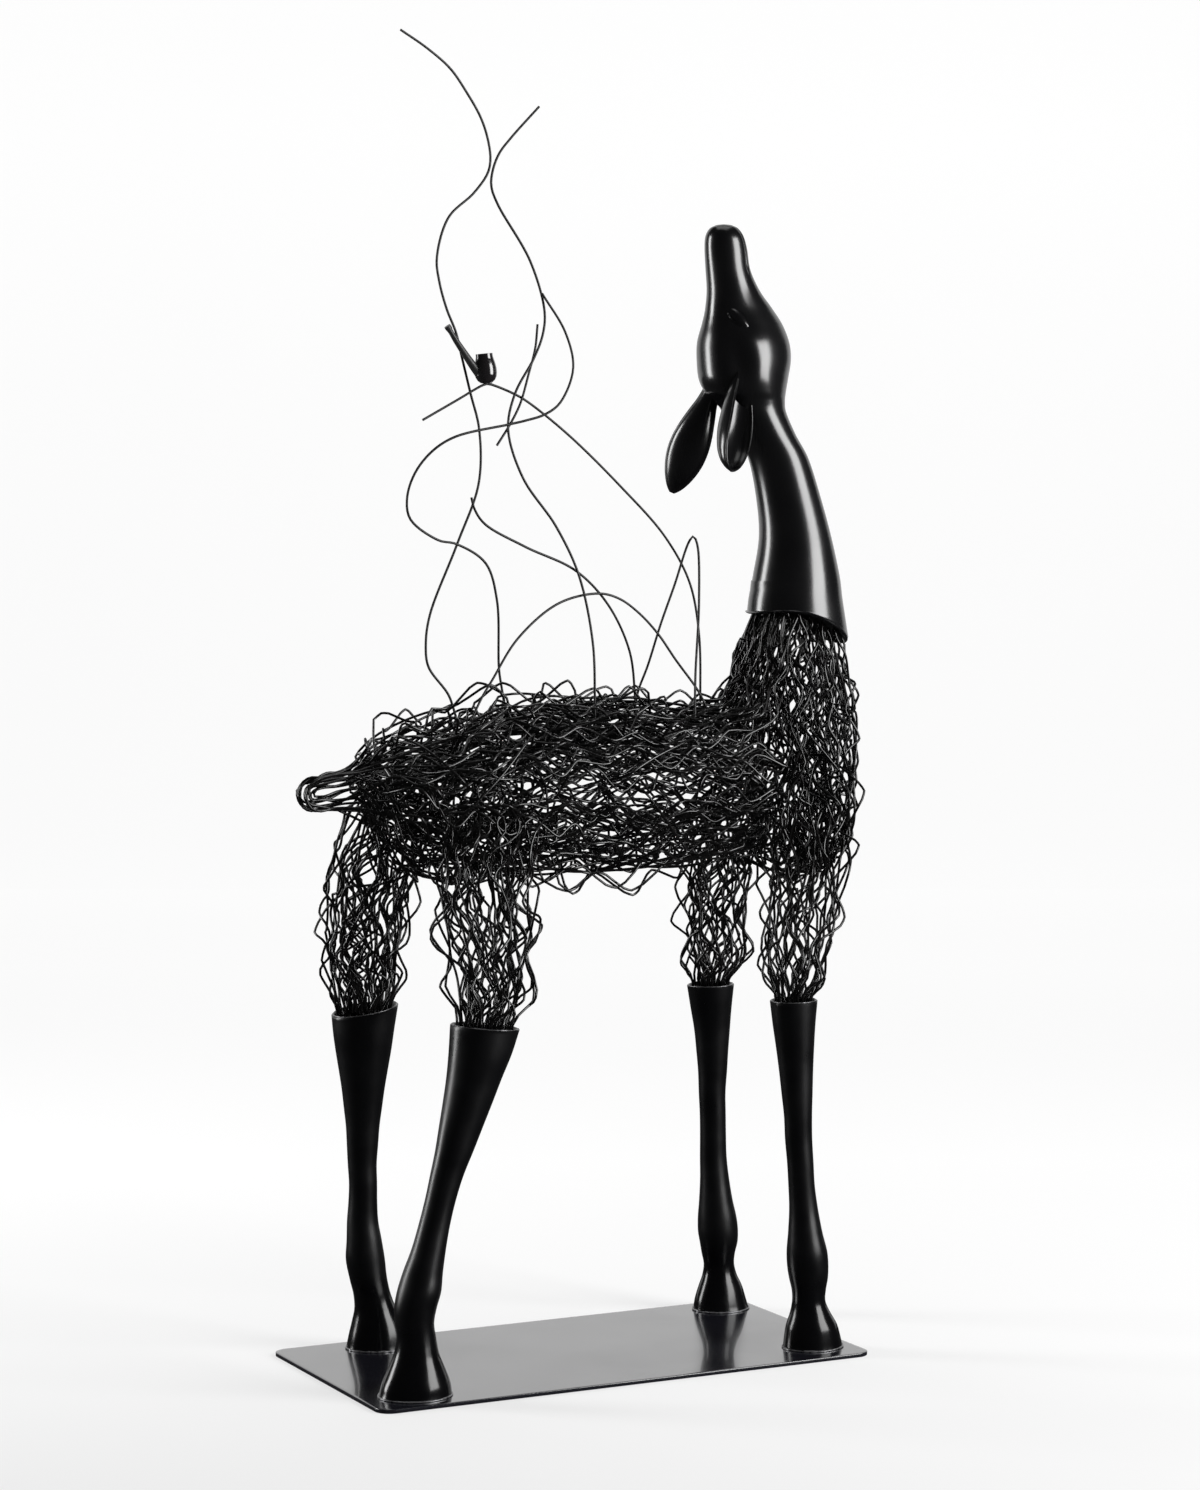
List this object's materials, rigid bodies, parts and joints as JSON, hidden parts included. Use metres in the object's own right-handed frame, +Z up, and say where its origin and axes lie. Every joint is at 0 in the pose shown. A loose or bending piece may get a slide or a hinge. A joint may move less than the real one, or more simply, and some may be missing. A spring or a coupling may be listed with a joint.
{
  "type": "deer sculpture",
  "caption": "Standing deer of tangled black wire with cast head, neck and lower legs on a flat plate, and long bent wires with a small pipe rising from its back.",
  "frame": {"origin": "centre of the base plate's underside", "axes": "+Z up, +X towards the deer's chest, +Y its left side"},
  "size_m": [0.7831, 0.355, 1.6542],
  "materials": {
    "plate": "satin black painted steel plate",
    "cast_legs": "satin black lacquer on a smooth casting",
    "cast_head": "high gloss black lacquer on a smooth casting",
    "wire": "semi-gloss black crimped steel wire",
    "back_wire": "satin black bent steel wire",
    "pipe": "glossy black bowl with a satin black stem"
  },
  "bodies": {
    "root": {"base_plate": "plate", "leg_hind_right": "cast_legs", "leg_hind_left": "cast_legs", "leg_front_right": "cast_legs", "leg_front_left": "cast_legs", "head_and_neck": "cast_head", "torso_wires": "wire", "chest_wires": "wire", "upper_leg_wires_hind_right": "wire", "upper_leg_wires_hind_left": "wire", "upper_leg_wires_front_right": "wire", "upper_leg_wires_front_left": "wire", "tail_wires": "wire", "back_wire_1": "back_wire", "back_wire_2": "back_wire", "back_wire_3": "back_wire", "back_wire_4": "back_wire", "back_wire_5": "back_wire", "back_wire_6": "back_wire", "back_wire_7": "back_wire", "back_wire_8": "back_wire", "pipe": "pipe"}
  },
  "joints": []
}
